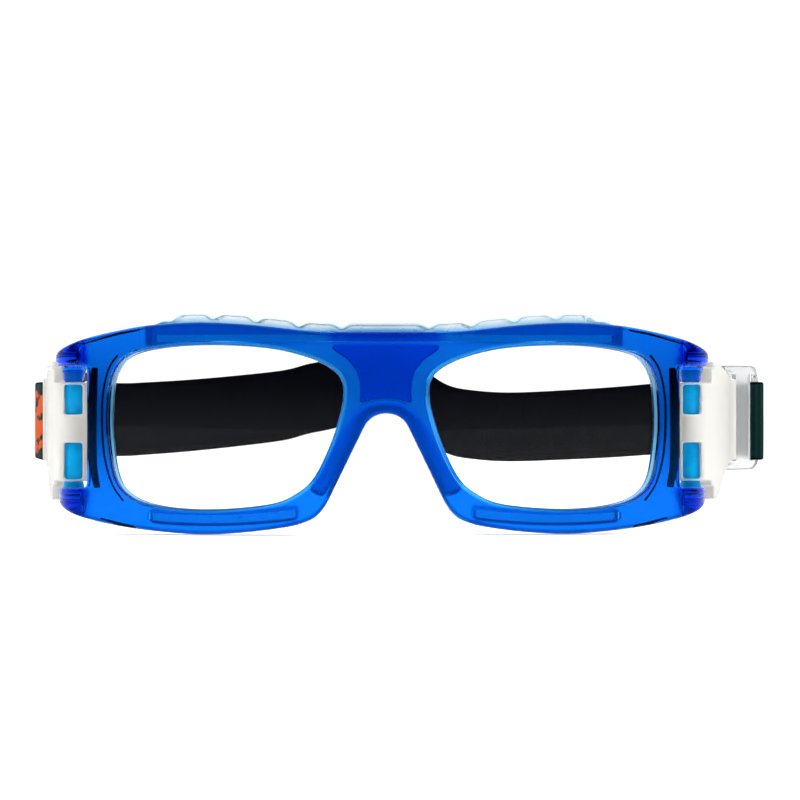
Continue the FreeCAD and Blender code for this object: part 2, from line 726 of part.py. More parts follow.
def check(parts):
    doc.recompute()
    for item in doc.Objects:
        if "Invalid" in item.State or "Error" in item.State:
            raise RuntimeError("%s failed: %s" % (item.Label, item.State))
    for item in parts:
        if item.Shape.isNull() or not item.Shape.isValid() or len(item.Shape.Solids) != 1:
            raise RuntimeError(item.Label + " is not one valid solid")


PARTS = build()
check(PARTS)
os.makedirs("parts", exist_ok=True)
for item in PARTS:
    item.Shape.exportStep("parts/%s.step" % item.Label)
    box = item.Shape.BoundBox
    print("%-20s %7.1f %7.1f %7.1f  %7.1f %7.1f %7.1f  %8.1f" % (
        item.Label, box.XMin, box.YMin, box.ZMin, box.XMax, box.YMax, box.ZMax,
        item.Shape.Volume))
for side in (-1, 1):
    print("hinge", side * HINGE_X, HINGE_Y, "eye", eye_centre(side), "bar", ring_bar_centre(side))
    print("slider", slider_place(side))
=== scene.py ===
"""Sports protective goggles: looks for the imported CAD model.

Everything is in metres, in the CAD's own frame: +X across the front, +Y back towards the strap,
+Z up. Outlines are written in millimetres, as (across, up), and scaled once by MM.
"""
import math

import bmesh
import bpy
import numpy as np
from mathutils import Matrix, Vector, geometry


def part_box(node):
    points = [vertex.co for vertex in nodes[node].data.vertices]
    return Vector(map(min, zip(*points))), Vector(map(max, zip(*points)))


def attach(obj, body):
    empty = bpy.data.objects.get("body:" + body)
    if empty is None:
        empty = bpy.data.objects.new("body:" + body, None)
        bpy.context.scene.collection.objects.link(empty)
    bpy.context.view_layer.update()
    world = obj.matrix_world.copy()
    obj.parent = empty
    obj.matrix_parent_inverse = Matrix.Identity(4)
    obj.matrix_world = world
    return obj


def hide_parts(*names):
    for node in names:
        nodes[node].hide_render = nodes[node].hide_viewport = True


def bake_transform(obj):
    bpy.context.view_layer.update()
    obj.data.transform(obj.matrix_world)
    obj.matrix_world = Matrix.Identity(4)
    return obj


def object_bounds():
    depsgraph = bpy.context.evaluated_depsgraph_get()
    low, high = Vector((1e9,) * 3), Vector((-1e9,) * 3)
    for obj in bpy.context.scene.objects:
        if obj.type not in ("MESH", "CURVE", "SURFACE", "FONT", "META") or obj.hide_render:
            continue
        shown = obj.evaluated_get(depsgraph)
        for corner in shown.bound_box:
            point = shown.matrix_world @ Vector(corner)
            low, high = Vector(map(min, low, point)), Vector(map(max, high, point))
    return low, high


MM = 0.001
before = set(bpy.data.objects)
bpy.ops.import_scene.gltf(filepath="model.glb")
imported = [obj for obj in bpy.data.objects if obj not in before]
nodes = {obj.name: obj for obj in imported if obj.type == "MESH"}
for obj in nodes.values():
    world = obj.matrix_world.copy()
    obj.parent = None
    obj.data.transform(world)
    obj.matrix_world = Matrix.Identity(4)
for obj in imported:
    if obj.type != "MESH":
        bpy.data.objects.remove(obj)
cad_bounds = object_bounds()

# ---------------------------------------------------------------- sizes, in millimetres
WRAP_RADIUS = 230.0
END_RADIUS = 8.0
END_X = 68.4
RIM_THICK = 5.0
BRIDGE_DEPTH = 8.0
FRONT_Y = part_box("front_frame")[0].y / MM
HINGE_Y = FRONT_Y + WRAP_RADIUS - math.sqrt((WRAP_RADIUS - END_RADIUS) ** 2 - END_X ** 2)
HINGE_X = 72.2
TOUCH_ANGLE = math.asin(END_X / (WRAP_RADIUS - END_RADIUS))
TOUCH_S = WRAP_RADIUS * TOUCH_ANGLE
SIDE_S = TOUCH_S + END_RADIUS * (math.pi / 2 - TOUCH_ANGLE)
WINDOW_LOW, WINDOW_TOP = -13.9, 14.4
PAD_GAP = 0.12
PAD_FRONT = RIM_THICK + PAD_GAP      # depth of the silicone pads' front faces
LENS_GROOVE = (1.52, 3.68, 0.9)      # depths of its two sides, and how deep it is cut
FLAT = 0.12          # narrow flat strip between an edge's rounding and the face
FINE_STEP = 0.15     # sampling of an outline while its corners are rounded
SHARP_ANGLE = 40     # degrees: edges beyond this stay sharp


# ---------------------------------------------------------------- curve helpers
def spline(points, step=0.4, closed=False):
    """A Catmull-Rom curve through the points, sampled at about this step."""
    p = np.array(points, float)
    if closed:
        p = np.vstack([p[-1], p, p[0], p[1]])
    else:
        p = np.vstack([2 * p[0] - p[1], p, 2 * p[-1] - p[-2]])
    out = []
    for a, b, c, d in zip(p, p[1:], p[2:], p[3:]):
        count = max(2, int(np.linalg.norm(c - b) / step))
        for t in np.arange(count) / count:
            out.append(0.5 * (2 * b + (c - a) * t + (2 * a - 5 * b + 4 * c - d) * t ** 2
                              + (3 * b - a - 3 * c + d) * t ** 3))
    if not closed:
        out.append(p[-2])
    return np.array(out)


def resample(points, step, closed=True):
    """Evenly spaced points along a polyline."""
    p = np.vstack([points, points[:1]]) if closed else np.array(points)
    length = np.concatenate([[0], np.cumsum(np.linalg.norm(np.diff(p, axis=0), axis=1))])
    count = max(4, int(round(length[-1] / step)))
    at = np.linspace(0, length[-1], count + 1)
    if closed:
        at = at[:-1]
    return np.stack([np.interp(at, length, p[:, k]) for k in range(p.shape[1])], axis=1)


def softened(points, radius, step):
    """A closed outline with its corners rounded by about this radius."""
    fine = resample(points, FINE_STEP)
    reach = int(3 * radius / FINE_STEP)
    kernel = np.exp(-0.5 * (np.arange(-reach, reach + 1) * FINE_STEP / (radius * 0.62)) ** 2)
    kernel /= kernel.sum()
    wrapped = np.vstack([fine[-reach:], fine, fine[:reach]])
    smooth = np.stack([np.convolve(wrapped[:, k], kernel, "valid") for k in (0, 1)], axis=1)
    return resample(smooth, step)


def counter_clockwise(points, wanted=True):
    x, y = points[:, 0], points[:, 1]
    area = np.sum(x * np.roll(y, -1) - y * np.roll(x, -1))
    return points if (area > 0) == wanted else points[::-1]


def left_normals(points):
    """Unit normals to the left of a closed outline's direction."""
    along = np.roll(points, -1, axis=0) - np.roll(points, 1, axis=0)
    along /= np.linalg.norm(along, axis=1)[:, None]
    return np.stack([-along[:, 1], along[:, 0]], axis=1)


def inside(points, loops):
    """Even-odd test of points against closed outlines."""
    hit = np.zeros(len(points), bool)
    x, y = points[:, 0], points[:, 1]
    for loop in loops:
        for (ax, ay), (bx, by) in zip(loop, np.roll(loop, -1, axis=0)):
            crosses = (ay > y) != (by > y)
            if crosses.any():
                at = ax + (y[crosses] - ay) * (bx - ax) / (by - ay)
                flip = np.zeros(len(points), bool)
                flip[crosses] = x[crosses] < at
                hit ^= flip
    return hit


def mirrored(points):
    return [(-x, y) for x, y in reversed(points) if x > 0] + list(points)


def on_side(points, side):
    return [(x * side, y) for x, y in points]


# ---------------------------------------------------------------- wrap mapping
def wrap(points, depth):
    """Plan arc length and height, at a depth behind the front face, to the row frame in mm."""
    s, z = points[:, 0], points[:, 1]
    side = np.where(s < 0, -1.0, 1.0)
    run = np.abs(s)
    angle = np.where(run < TOUCH_S, run / WRAP_RADIUS,
                     TOUCH_ANGLE + (run - TOUCH_S) / END_RADIUS)
    angle = np.minimum(angle, math.pi / 2)
    front = run < TOUCH_S
    x = np.where(front, WRAP_RADIUS * np.sin(angle), END_X + END_RADIUS * np.sin(angle))
    y = np.where(front, FRONT_Y + WRAP_RADIUS * (1 - np.cos(angle)),
                 HINGE_Y - END_RADIUS * np.cos(angle))
    y = y + np.maximum(run - SIDE_S, 0)
    x = x - LOW_LOBE_INSET * smooth_step((run - LOBE_START_S) / 8) * smooth_step((-12.5 - z) / 2.5)
    return np.stack([side * (x - depth * np.sin(angle)), y + depth * np.cos(angle), z], axis=1)


def along_wrap(points):
    """Outline points given by x, as (arc length along the wrap, height)."""
    return [(math.copysign(WRAP_RADIUS * math.asin(min(abs(x), 70) / WRAP_RADIUS), x), z)
            for x, z in points]


# ---------------------------------------------------------------- plates with rounded edges
def edge_profile(radius, rear_radius=None, groove=None, steps=4):
    """How an edge runs from the front face to the rear one: (inset, from front?, offset)."""
    rear_radius = rear_radius or radius
    rings = [(radius + FLAT, True, 0)]
    for k in range(steps + 1):
        turn = k / steps * math.pi / 2
        rings.append((radius * (1 - math.sin(turn)), True, radius * (1 - math.cos(turn))))
    if groove:
        start, end, deep = groove
        rings += [(0, True, start), (deep, True, start), (deep, True, end), (0, True, end)]
    for k in range(steps, -1, -1):
        turn = k / steps * math.pi / 2
        rings.append((rear_radius * (1 - math.sin(turn)), False,
                      rear_radius * (1 - math.cos(turn))))
    rings.append((rear_radius + FLAT, False, 0))
    return rings


def plate(name, loops, place, front, rear, spacing=1.3, pockets=()):
    """A curved plate. loops: (outline, edge profile), the first one outside, the rest holes.
    front and rear give the depth of each face at 2-D points. pockets: (outline, depth, width of
    their sloping sides), sunk into the rear face, or raised from it where depth is negative."""
    flat, deep, faces = [], [], []

    def ring(points, depth):
        start = sum(len(a) for a in flat)
        flat.append(points)
        deep.append(depth)
        return np.arange(start, start + len(points))

    def strip(a, b):
        for i in range(len(a)):
            j = (i + 1) % len(a)
            faces.append((a[i], a[j], b[j], b[i]))

    def cap(rings, depth_of, flipped):
        """Fills the region inside the first ring and outside the others."""
        outlines = [np.vstack(flat)[r] for r in rings]
        low, high = outlines[0].min(0), outlines[0].max(0)
        gx, gy = np.meshgrid(np.arange(low[0], high[0], spacing),
                             np.arange(low[1], high[1], spacing * 0.87))
        gx[1::2] += spacing / 2
        grid = np.stack([gx.ravel(), gy.ravel()], axis=1)
        grid = grid[inside(grid, outlines)]
        edge = np.vstack(outlines)
        near = np.min(np.linalg.norm(grid[:, None] - edge[None], axis=2), axis=1)
        grid = grid[near > 0.6 * spacing]
        own = np.concatenate(rings + [ring(grid, depth_of(grid))])
        verts = [Vector(v) for v in np.vstack([edge, grid])]
        edges, start = [], 0
        for r in rings:
            count = len(r)
            edges += [(start + i, start + (i + 1) % count) for i in range(count)]
            start += count
        made = geometry.delaunay_2d_cdt(verts, edges, [], 0, 1e-6)
        source = [own[o[0]] if o else None for o in made[3]]
        spot = np.array([list(v) for v in made[0]])
        triangles = [t for t in made[2] if all(source[i] is not None for i in t)]
        centres = np.array([spot[list(t)].mean(0) for t in triangles])
        keep = inside(centres, outlines)
        for t, wanted in zip(triangles, keep):
            if wanted:
                own_face = tuple(source[i] for i in t)
                faces.append(own_face[::-1] if flipped else own_face)

    front_rings, rear_rings = [], []
    for points, profile in loops:
        normal = left_normals(points)
        previous = None
        for inset, from_front, offset in profile:
            at = points + normal * inset
            depth = front(at) + offset if from_front else rear(at) - offset
            here = ring(at, depth)
            if previous is not None:
                strip(previous, here)
            else:
                front_rings.append(here)
            previous = here
        rear_rings.append(previous)
    for points, sunk, lip in pockets:
        normal = left_normals(points)
        levels = [(lip * t, sunk * smooth_step(t)) for t in np.linspace(0, 1, 8)]
        if not lip:
            levels = [(0, 0), (0, sunk)]
        previous = None
        for inset, drop in levels:
            at = points - normal * inset
            here = ring(at, rear(at) - drop)
            if previous is None:
                rear_rings.append(here)
            else:
                strip(previous, here)
            previous = here
        cap([previous], lambda at, drop=sunk: rear(at) - drop, True)
    cap(front_rings, front, False)
    cap(rear_rings, rear, True)
    spots, depth = np.vstack(flat), np.concatenate(deep)
    back = np.clip((depth / rear(spots) - 0.9) / 0.09, 0, 1)
    faces = [tuple(int(i) for i in f) for f in faces]
    return new_mesh(name, place(spots, depth) * MM, faces, matt=back)


def new_mesh(name, co, faces, matt=None):
    mesh = bpy.data.meshes.new(name)
    mesh.from_pydata([tuple(v) for v in co], [], faces)
    if matt is not None:
        paint(mesh, "matt", matt)
    mesh.validate()
    piece = bpy.data.objects.new(name, mesh)
    bpy.context.scene.collection.objects.link(piece)
    tidy(piece)
    return piece


def paint(mesh, name, values):
    """Writes one number per vertex, which a material reads by this name."""
    mesh.attributes.new(name, "FLOAT", "POINT").data.foreach_set("value", values)


def tidy(piece):
    """Outward faces, no doubles or loose points, smooth shading with sharp edges kept."""
    work = bmesh.new()
    work.from_mesh(piece.data)
    bmesh.ops.remove_doubles(work, verts=work.verts, dist=1e-6)
    open_edges = [edge for edge in work.edges if len(edge.link_faces) == 1]
    bmesh.ops.holes_fill(work, edges=open_edges, sides=0)
    loose = [v for v in work.verts if not v.link_faces]
    bmesh.ops.delete(work, geom=loose, context="VERTS")
    bmesh.ops.recalc_face_normals(work, faces=work.faces)
    work.to_mesh(piece.data)
    work.free()
    piece.data.shade_smooth()
    piece.data.set_sharp_from_angle(angle=math.radians(SHARP_ANGLE))


def constant(value):
    return lambda at: np.full(len(at), float(value))


# ---------------------------------------------------------------- materials
def material(name, **sockets):
    """A Principled material; its sockets' values are given by name, with _ for a space."""
    made = bpy.data.materials.new(name)
    made.use_nodes = True
    tree = made.node_tree
    shader = tree.nodes["Principled BSDF"]
    for socket, value in sockets.items():
        shader.inputs[socket.replace("_", " ")].default_value = value
    return made, tree, shader


def link(tree, source, target):
    tree.links.new(source, target)


def noise(tree, scale, detail=3.0, vector=None):
    """Noise over the object's own coordinates, unless a vector is given."""
    texture = tree.nodes.new("ShaderNodeTexNoise")
    texture.inputs["Scale"].default_value = scale
    texture.inputs["Detail"].default_value = detail
    if vector is None:
        vector = tree.nodes.new("ShaderNodeTexCoord").outputs["Object"]
    link(tree, vector, texture.inputs["Vector"])
    return texture.outputs["Fac"]


def computed(tree, operation, *sources):
    node = tree.nodes.new("ShaderNodeMath")
    node.operation = operation
    for source, socket in zip(sources, node.inputs):
        link(tree, source, socket)
    return node.outputs["Value"]


def painted(tree, name):
    """The number that paint() wrote on the vertices."""
    node = tree.nodes.new("ShaderNodeAttribute")
    node.attribute_name = name
    return node.outputs["Fac"]


def ramped(tree, source, stops):
    """A colour ramp over the source, from (position, colour) pairs."""
    node = tree.nodes.new("ShaderNodeValToRGB")
    elements = node.color_ramp.elements
    elements[0].position, elements[0].color = stops[0]
    elements[1].position, elements[1].color = stops[-1]
    for position, colour in stops[1:-1]:
        elements.new(position).color = colour
    link(tree, source, node.inputs["Fac"])
    return node.outputs["Color"]


def ranged(tree, source, low, high, from_low=0.3, from_high=0.7):
    node = tree.nodes.new("ShaderNodeMapRange")
    node.inputs["From Min"].default_value = from_low
    node.inputs["From Max"].default_value = from_high
    node.inputs["To Min"].default_value = low
    node.inputs["To Max"].default_value = high
    link(tree, source, node.inputs["Value"])
    return node.outputs["Result"]


def bumped(tree, shader, source, strength, distance):
    node = tree.nodes.new("ShaderNodeBump")
    node.inputs["Strength"].default_value = strength
    node.inputs["Distance"].default_value = distance
    link(tree, source, node.inputs["Height"])
    link(tree, node.outputs["Normal"], shader.inputs["Normal"])


def absorbing(tree, colour, density):
    """Light lost on the way through: density per metre, times one minus the colour."""
    node = tree.nodes.new("ShaderNodeVolumeAbsorption")
    node.inputs["Color"].default_value = (*colour, 1)
    node.inputs["Density"].default_value = density
    link(tree, node.outputs["Volume"], tree.nodes["Material Output"].inputs["Volume"])


def blue_plastic(name, colour, density):
    made, tree, shader = material(name, Base_Color=(0.9, 0.95, 1, 1),
                                  Transmission_Weight=1.0, IOR=1.5,
                                  Specular_Tint=(0.01, 0.22, 0.85, 1))
    rough = computed(tree, "ADD", ranged(tree, painted(tree, "matt"), 0.0, 0.4, 0, 1),
                     ranged(tree, noise(tree, 900, 4), 0.03, 0.06))
    link(tree, rough, shader.inputs["Roughness"])
    absorbing(tree, colour, density)
    return made


def pin_plastic():
    """Painted light: the stub pins are an opaque pale blue with a faint blue glow, standing for
    the light that the pale sleeves behind them send through the thin pins.
    """
    made, tree, shader = material("blue_pin_painted_glow", Specular_IOR_Level=0.1, Emission_Strength=0.15,
                                  Emission_Color=(0.0, 0.36, 0.8, 1))
    link(tree, ranged(tree, noise(tree, 900, 4), 0.25, 0.4), shader.inputs["Roughness"])
    link(tree, ramped(tree, noise(tree, 260, 2), PIN_SHADES), shader.inputs["Base Color"])
    return made


def clear_lens():
    made, tree, shader = material("clear_polycarbonate", Base_Color=(1, 1, 1, 1),
                                  Transmission_Weight=1.0, IOR=1.18)
    link(tree, ranged(tree, noise(tree, 1500, 2), 0.0, 0.008), shader.inputs["Roughness"])
    return made


# Pin colours in random tones; their paleness is painted light, the sleeves' light shown through
# thin blue pins.
PIN_SHADES = [(0.35, (0.002, 0.25, 0.56, 1)), (0.65, (0.004, 0.34, 0.70, 1))]
# Painted light: silicone colours by "rise", from dark blue behind the rim to pale where the pad
# stands clear of it.
PAD_LIGHT_THROUGH_RIM = [(0.0, (0.01, 0.2, 0.75, 1)), (0.3, (0.16, 0.55, 0.78, 1)), (0.7, (0.9, 0.95, 1, 1))]


def clear_silicone():
    made, tree, shader = material("clear_silicone", Transmission_Weight=0.85, IOR=1.35)
    # Painted light: the base colour follows "rise", blue where the rim in front filters the light.
    link(tree, ramped(tree, painted(tree, "rise"), PAD_LIGHT_THROUGH_RIM), shader.inputs["Base Color"])
    link(tree, ranged(tree, noise(tree, 200, 2), 0.26, 0.32), shader.inputs["Roughness"])
    bumped(tree, shader, noise(tree, 220, 2), 0.05, 0.0002)
    return made


def frosted_rubber():
    made, tree, shader = material("frosted_rubber", Base_Color=(0.9, 0.885, 0.84, 1),
                                  Transmission_Weight=0.6, IOR=1.4)
    link(tree, ranged(tree, noise(tree, 300, 3), 0.38, 0.45), shader.inputs["Roughness"])
    return made


def smoky_plastic():
    made, tree, shader = material("smoky_plastic", Base_Color=(0.89, 0.9, 0.9, 1),
                                  Transmission_Weight=0.8, IOR=1.49)
    link(tree, ranged(tree, noise(tree, 800, 4), 0.06, 0.18), shader.inputs["Roughness"])
    absorbing(tree, (0.6, 0.64, 0.66), 170)
    return made


def black_plastic():
    made, tree, shader = material("black_plastic", Base_Color=(0.02, 0.021, 0.024, 1))
    link(tree, ranged(tree, noise(tree, 900, 5), 0.28, 0.45), shader.inputs["Roughness"])
    bumped(tree, shader, noise(tree, 3000, 3), 0.2, 0.0002)
    return made


def blotches(tree, metres, dark_edges):
    """A mottled print drawn out along the strap. It fades out at the edges and where "bare"
    is 1."""
    drawn = tree.nodes.new("ShaderNodeVectorMath")
    drawn.operation = "MULTIPLY"
    drawn.inputs[1].default_value = (0.22, 1, 1)
    link(tree, metres, drawn.inputs[0])
    level = noise(tree, 330, 2.5, drawn.outputs["Vector"])
    parts = tree.nodes.new("ShaderNodeSeparateXYZ")
    link(tree, metres, parts.inputs["Vector"])
    distance = computed(tree, "ABSOLUTE", parts.outputs["Y"])
    for loss in (ranged(tree, distance, 0, dark_edges, 0.0062, 0.0088),
                 ranged(tree, painted(tree, "bare"), 0, 0.4, 0, 1)):
        level = computed(tree, "SUBTRACT", level, loss)
    return level


def woven(name, colours, specular, grain=0.5, dark_edges=0.0):
    """Elastic webbing: cross ribs along u and fine warp threads along v, over a mottled dye."""
    made, tree, shader = material(name, Roughness=0.8, Specular_IOR_Level=specular)
    coords = tree.nodes.new("ShaderNodeTexCoord")
    ribs = tree.nodes.new("ShaderNodeTexWave")
    ribs.inputs["Scale"].default_value = 330
    ribs.inputs["Distortion"].default_value = 0.6
    warp = tree.nodes.new("ShaderNodeTexWave")
    warp.bands_direction = "Y"
    warp.inputs["Scale"].default_value = 520
    warp.inputs["Distortion"].default_value = 0.8
    for wave in (ribs, warp):
        link(tree, coords.outputs["UV"], wave.inputs["Vector"])
    relief = computed(tree, "ADD", ribs.outputs["Fac"], warp.outputs["Fac"])
    bumped(tree, shader, relief, grain, 0.0002)
    dye = ramped(tree, blotches(tree, coords.outputs["UV"], dark_edges), colours)
    shade = tree.nodes.new("ShaderNodeMix")
    shade.data_type = "RGBA"
    shade.blend_type = "MULTIPLY"
    shade.inputs["Factor"].default_value = 0.45
    link(tree, dye, shade.inputs[6])
    link(tree, ribs.outputs["Color"], shade.inputs[7])
    link(tree, shade.outputs[2], shader.inputs["Base Color"])
    return made


# Painted shade: a near-black matt material for strips that stand for dark reflections inside the
# clear rim.
def deep_blue():
    made, tree, shader = material("painted_shade_edge", Base_Color=(0.0, 0.004, 0.012, 1),
                                  Specular_IOR_Level=0.02)
    link(tree, ranged(tree, noise(tree, 300, 3), 0.6, 0.8), shader.inputs["Roughness"])
    return made


EDGE_SHADE = deep_blue()
BLUE = blue_plastic("blue_polycarbonate", (0.0, 0.69, 0.962), 1200)
GLOWING_PIN_BLUE = pin_plastic()
LENS, SILICONE = clear_lens(), clear_silicone()
RUBBER, SMOKY, BLACK = frosted_rubber(), smoky_plastic(), black_plastic()
WEBBING = woven("webbing_outer", [(0.42, (0.004, 0.022, 0.022, 1)),
                                  (0.47, (0.72, 0.095, 0.01, 1))], 0.05, 0.25, 0.3)
LINING = woven("webbing_lining", [(0.3, (0.0007, 0.0012, 0.0028, 1)),
                                  (0.7, (0.0012, 0.0020, 0.0042, 1))], 0.015, 0.02)


def dressed(piece, finish, slot, body, *replaced):
    """Gives a piece its material, body and the CAD nodes it stands for. The slot argument is not
    used.
    """
    piece.data.materials.clear()
    piece.data.materials.append(finish)
    if body:
        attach(piece, body)
    if replaced:
        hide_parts(*replaced)
    return piece


# ---------------------------------------------------------------- front frame
# Right half of the outlines: by x, but the lobes and the painted wall shade lines by arc length.
TOP_EDGE = [(0, 22.2), (9, 22.2), (18, 22.5), (32.5, 23.9), (44, 24.4), (55, 23.7),
            (62.6, 22.4), (69, 20.9)]
LOBE_TOP = [(76.2, 19.0), (80.5, 17.8), (84.5, 17.2)]
LOBE_LOW = [(84.5, -17.2), (80.5, -18.0), (76.2, -19.2)]
LOW_EDGE = [(69, -21.0), (62.6, -22.4), (55, -23.5), (43, -24.4), (32.5, -23.9), (23, -22.7)]
NOSE_CORNER = [(19.6, -21.9), (16.3, -20.5), (13.9, -17.8)]
NOSE_LEG_TOP = (5.6, -0.8)
NOSE_ARCH = [(4.3, 1.6), (2.3, 3.0), (0, 3.5)]
LENS_OPENING = [(9.9, 7.9), (10.6, 3.3), (13, -4), (16.7, -11.3), (20.8, -15), (27, -17.4),
                (40, -18.6), (51.3, -18), (58.5, -15.8), (62.2, -11.4), (63.7, -2.4),
                (63.8, 5.1), (62.8, 12.1), (59.2, 16.6), (51.3, 18.5), (40, 19.1), (27, 18.3),
                (18, 16.2), (12.6, 13.6), (10.4, 11.1)]
BLOCK = [(0, 6.9), (2.2, 6.75), (4.2, 6.3), (6.2, 5.6), (5.95, 8.0), (5.95, 10.4), (6.9, 13.4),
         (9.0, 15.9), (12.0, 17.8), (13.0, 18.8), (12.2, 19.3), (6, 19.3), (0, 19.3)]
# Painted shade: dark strips inside the clear rim where the plastic shows dark reflections, not
# real parts.
# (points, width, depth of the front face, thickness, how bluntly the ends taper)
WALL_SHADE_LINES = [([(68.5, 14.0), (68.9, 9.0), (69.15, 3.0), (69.15, -4.0), (68.8, -9.5),
                (67.9, -13.8)], 1.5, 0.5, 3.6, 0.35),
              ([(57.2, 22.6), (63.0, 21.55), (68.5, 20.15), (71.5, 19.35)], 0.3, 0.5, 1.3, 0.4),
              ([(58.3, -22.55), (63.0, -21.65), (67.0, -20.75)], 0.3, 0.5, 1.3, 0.4),
              ([(62.6, 17.0), (64.9, 13.6), (66.3, 7.5), (66.45, 0.0), (65.8, -7.0), (64.0, -13.0),
                (61.2, -17.0)], 0.3, 0.6, 1.3, 0.5)]
WINDOW_S = 70.2
LOW_LOBE_INSET = 0.7
LOBE_START_S, LOBE_END_S = 73, 85.6


def front_outline():
    """The whole outer outline, in arc length along the wrap and height."""
    window = [(LOBE_END_S, 15.6), (LOBE_END_S, WINDOW_TOP), (WINDOW_S, WINDOW_TOP),
              (WINDOW_S, WINDOW_LOW), (LOBE_END_S, WINDOW_LOW), (LOBE_END_S, -15.6)]
    right = np.vstack([spline(along_wrap(TOP_EDGE) + LOBE_TOP), window,
                       spline(LOBE_LOW + along_wrap(LOW_EDGE + NOSE_CORNER)),
                       spline([NOSE_LEG_TOP] + NOSE_ARCH)])
    left = right[::-1] * (-1, 1)
    return np.vstack([right, left[1:-1]])


def smooth_step(value):
    value = np.clip(value, 0, 1)
    return value * value * (3 - 2 * value)


def rear_depth(at):
    """Rim thickness, more in the lobes."""
    return RIM_THICK + 1.6 * smooth_step((np.abs(at[:, 0]) - 69) / 6.0)


def capsule(x_low, x_high, curve, height, corner=0.35):
    """A long slot with round ends whose middle line follows curve(x)."""
    xs = np.linspace(x_low, x_high, max(4, int(x_high - x_low)))
    up = [(x, curve(x) + height / 2) for x in xs]
    down = [(x, curve(x) - height / 2) for x in reversed(xs)]
    return counter_clockwise(softened(np.array(down[::-1] + up[::-1]), corner, 0.6))


def make_front():
    outline = counter_clockwise(softened(front_outline(), 1.5, 0.7))
    loops = [(outline, edge_profile(1.0, 0.7))]
    opening = spline(along_wrap(LENS_OPENING), closed=True)
    for side in (-1, 1):
        hole = counter_clockwise(resample(opening * (side, 1), 0.7), wanted=False)
        loops.append((hole, edge_profile(0.45, 0.4, LENS_GROOVE)))
    pockets = [(counter_clockwise(slot, wanted=False), sunk, 0) for slot, sunk in rear_slots()]
    block = counter_clockwise(softened(np.array(mirrored(BLOCK)), 1.2, 0.45), wanted=False)
    pockets.append((block, RIM_THICK - BRIDGE_DEPTH, 0.3))
    piece = plate("front_frame_shell", loops, wrap, constant(0), rear_depth,
                  pockets=pockets)
    return dressed(piece, BLUE, "frame_blue", "front", "front_frame")


def rear_slots():
    """Slots in the rear face: the brow pad's rib and the two cheek pads' ribs."""
    slots = [(capsule(-54.2, 54.2, lambda x: 20.7, 1.7), 1.35)]
    for side in (-1, 1):
        low, high = sorted((21 * side, 56 * side))
        slots.append((capsule(low, high, cheek_line, 1.8), 1.3))
    return slots


def cheek_line(x):
    """Height of the cheek pads' middle line, which follows the bottom rim."""
    return -20.9 + ((abs(x) - 42) / 18) ** 2


def make_wall_shade_lines():
    """Painted shade: dark opaque strips inside the clear plastic, standing for the dark
    reflections along the windows' inner walls, the rim's ends and beside the lens openings.
    """
    for side, word in ((-1, "left"), (1, "right")):
        for number, (points, width, front, deep, fade) in enumerate(WALL_SHADE_LINES):
            line = spline(on_side(points, side), 0.6)
            along = np.gradient(line, axis=0)
            along /= np.linalg.norm(along, axis=1)[:, None]
            across = np.stack([-along[:, 1], along[:, 0]], axis=1)
            taper = np.sin(np.linspace(0.15, math.pi - 0.15, len(line)))[:, None] ** fade
            outline = np.vstack([line + across * width / 2 * taper,
                                 (line - across * width / 2 * taper)[::-1]])
            outline = counter_clockwise(softened(outline, 0.2, 0.35))
            piece = plate("wall_line_%d_%s" % (number, word),
                          [(outline, edge_profile(0.08, steps=2))], wrap, constant(front),
                          constant(front + deep), 1.0)
            dressed(piece, EDGE_SHADE, "frame_blue", "front")


def make_stubs():
    """Stub pins in the arm windows, and the collar at the root of each upper one."""
    turned = {"stub_lower": ([(WINDOW_LOW + 0.02, 2.5), (-13.3, 2.4), (-12.7, 2.25), (-4.0, 2.1),
                              (-3.6, 2.0), (-3.4, 1.75)], GLOWING_PIN_BLUE),
              "stub_upper": ([(3.1, 1.7), (3.3, 1.95), (3.7, 2.05), (10.4, 2.25), (10.6, 2.1)],
                             GLOWING_PIN_BLUE),
              "collar": ([(10.65, 1.9), (11.0, 2.2), (11.6, 2.45), (12.8, 2.75),
                          (WINDOW_TOP - 0.02, 2.95)], BLUE)}
    for side, word in ((-1, "left"), (1, "right")):
        for name, (sections, finish) in turned.items():
            piece = lathe("%s_%s" % (name, word), sections, (side * HINGE_X, HINGE_Y))
            dressed(piece, finish, "frame_blue", "front")


def lathe(name, sections, centre, around=40):
    """A turned piece about a vertical axis from (height, radius) pairs, closed at both ends."""
    co, faces = [], []
    for z, radius in sections:
        for k in range(around):
            turn = 2 * math.pi * k / around
            co.append((centre[0] + radius * math.cos(turn), centre[1] + radius * math.sin(turn),
                       z))
    for level in range(len(sections) - 1):
        for k in range(around):
            a, b = level * around + k, level * around + (k + 1) % around
            faces.append((a, b, b + around, a + around))
    faces.append(tuple(range(around))[::-1])
    faces.append(tuple(range(len(co) - around, len(co))))
    return new_mesh(name, np.array(co) * MM, faces)


# ---------------------------------------------------------------- lenses
def make_lenses():
    opening = spline(along_wrap(LENS_OPENING), closed=True)
    for side, word in ((-1, "left"), (1, "right")):
        loop = counter_clockwise(resample(opening * (side, 1), 0.8))
        grown = loop - left_normals(loop) * 0.8
        piece = plate("lens_%s_glass" % word, [(grown, edge_profile(0.25, steps=2))], wrap,
                      constant(1.6), constant(3.6), 2.0)
        dressed(piece, LENS, "lens_clear", "front", "lens_" + word)


# ---------------------------------------------------------------- silicone pads
VALLEY_FIRST, VALLEY_PITCH, VALLEY_WIDTH = 10.4, 10.2, 1.35


def scallops(x):
    """How far the brow pad's top edge stands above its valleys, at x."""
    run = np.abs(x)
    place = (run - VALLEY_FIRST) / VALLEY_PITCH
    phase = place - np.round(place)
    valley = np.exp(-(phase * VALLEY_PITCH / VALLEY_WIDTH) ** 2)
    return 1 - np.where(run < 7.5, 0, valley)


